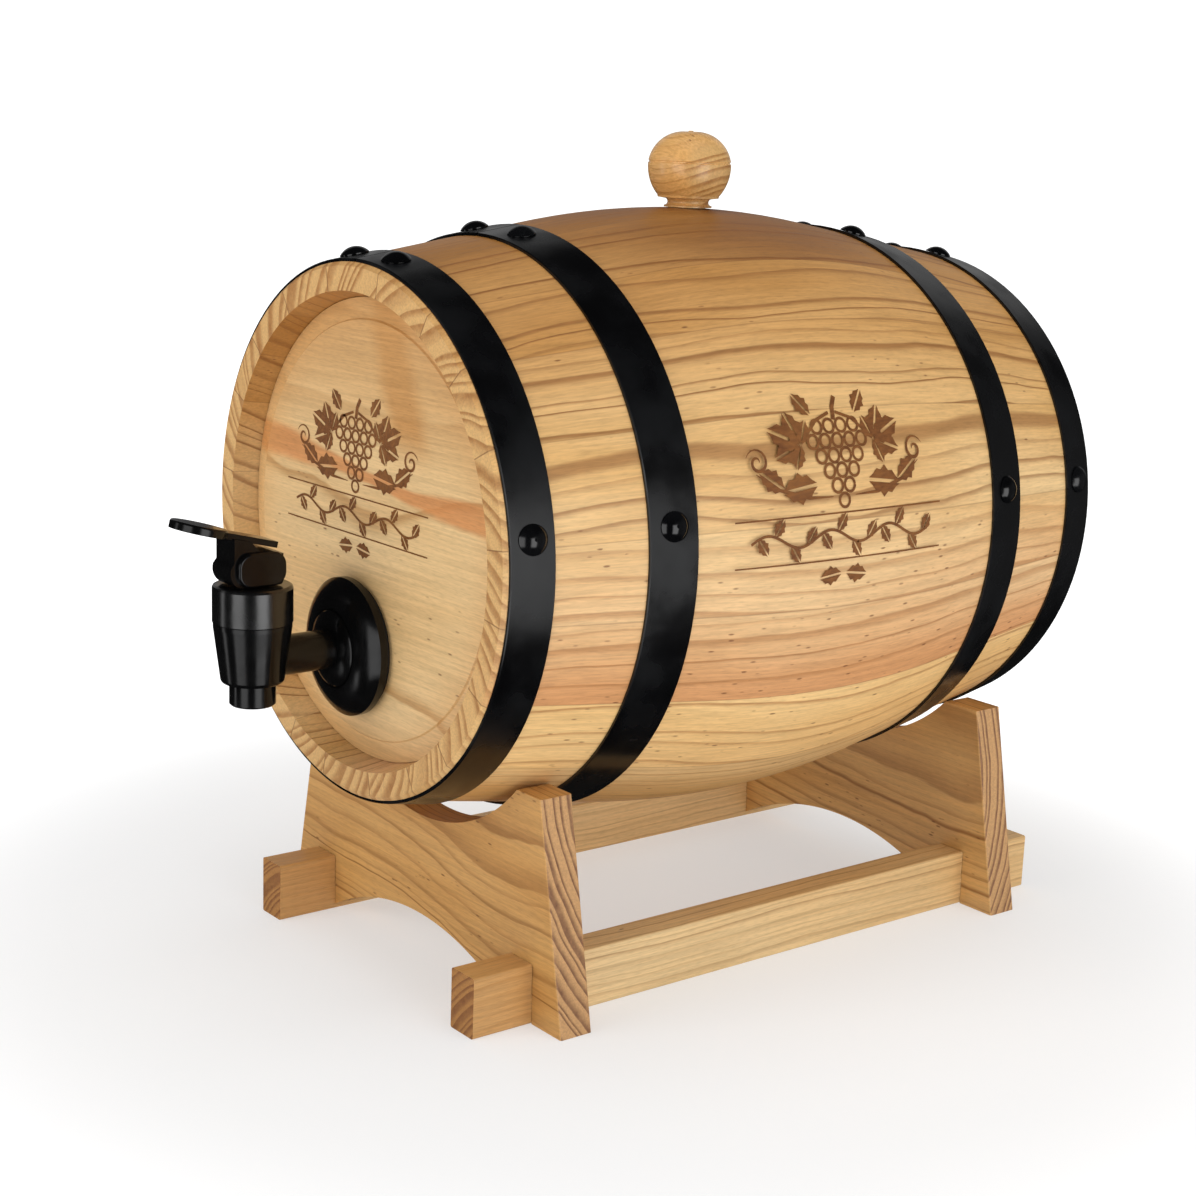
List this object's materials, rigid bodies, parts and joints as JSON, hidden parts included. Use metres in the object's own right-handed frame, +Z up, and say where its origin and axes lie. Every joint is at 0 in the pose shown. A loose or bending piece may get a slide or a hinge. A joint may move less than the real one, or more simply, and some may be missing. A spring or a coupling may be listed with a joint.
{
  "type": "wine barrel dispenser",
  "caption": "Small wooden barrel of straight-grained staves on a halved cradle stand, with metal hoops, a turned bung and a lever tap that opens a rising valve.",
  "frame": {"origin": "on the floor, in the middle of the footprint", "axes": "+Z up, the barrel's axis along Y with the tap at -Y, +X to the right seen from the tap"},
  "size_m": [0.229, 0.3557, 0.3093],
  "materials": {
    "stave_wood": "clear varnished pine",
    "head_wood": "clear varnished pine",
    "hoop_steel": "black lacquered strip, satin",
    "tack_steel": "gloss black",
    "knob_wood": "gloss varnished",
    "stand_wood": "clear varnished pine",
    "tap_plastic": "gloss black",
    "silicone": "matte",
    "seal_rubber": "matte",
    "pin_steel": "plain"
  },
  "bodies": {
    "stand": {"front_cradle_board": "stand_wood", "rear_cradle_board": "stand_wood", "left_rail": "stand_wood", "right_rail": "stand_wood"},
    "barrel": {"stave_01": "stave_wood", "stave_02": "stave_wood", "stave_03": "stave_wood", "stave_04": "stave_wood", "stave_05": "stave_wood", "stave_06": "stave_wood", "stave_07": "stave_wood", "stave_08": "stave_wood", "stave_09": "stave_wood", "stave_10": "stave_wood", "stave_11": "stave_wood", "stave_12": "stave_wood", "stave_13": "stave_wood", "stave_14": "stave_wood", "stave_15": "stave_wood", "stave_16": "stave_wood", "stave_17": "stave_wood", "stave_18": "stave_wood", "stave_19": "stave_wood", "stave_20": "stave_wood", "front_head": "head_wood", "rear_head": "head_wood", "front_end_hoop": "hoop_steel", "front_end_hoop_tacks": "tack_steel", "front_bilge_hoop": "hoop_steel", "front_bilge_hoop_tacks": "tack_steel", "rear_bilge_hoop": "hoop_steel", "rear_bilge_hoop_tacks": "tack_steel", "rear_end_hoop": "hoop_steel", "rear_end_hoop_tacks": "tack_steel", "tap_body": "tap_plastic", "tap_bonnet": "tap_plastic", "tap_escutcheon": "tap_plastic", "outer_tap_washer": "seal_rubber", "inner_tap_washer": "seal_rubber", "tap_nut": "tap_plastic"},
    "bung": {"bung_knob": "knob_wood", "bung_seal": "seal_rubber"},
    "stem": {"valve_stem": "tap_plastic", "seat_cup": "silicone", "lever_pin": "pin_steel"},
    "lever": {"tap_lever": "tap_plastic"}
  },
  "joints": [
    {"name": "barrel_lift", "type": "slide", "parent": "stand", "child": "barrel", "axis": [0, 0, 1], "range_m": [0, 0.06]},
    {"name": "bung_pull", "type": "slide", "parent": "barrel", "child": "bung", "axis": [0, 0, 1], "range_m": [0, 0.05]},
    {"name": "stem_lift", "type": "slide", "parent": "barrel", "child": "stem", "axis": [0, 0, 1], "range_m": [0, 0.0026]},
    {"name": "lever_press", "type": "hinge", "parent": "stem", "child": "lever", "pos_m": [-0.008, -0.1468, 0.1575], "axis": [1, 0, 0], "range_deg": [0, 20], "stiffness_Nm_per_rad": 0.3, "springref_deg": -11.46}
  ],
  "couplings": [
    {"joint": "stem_lift", "follows": "lever_press", "m_per_rad": 0.0072}
  ]
}
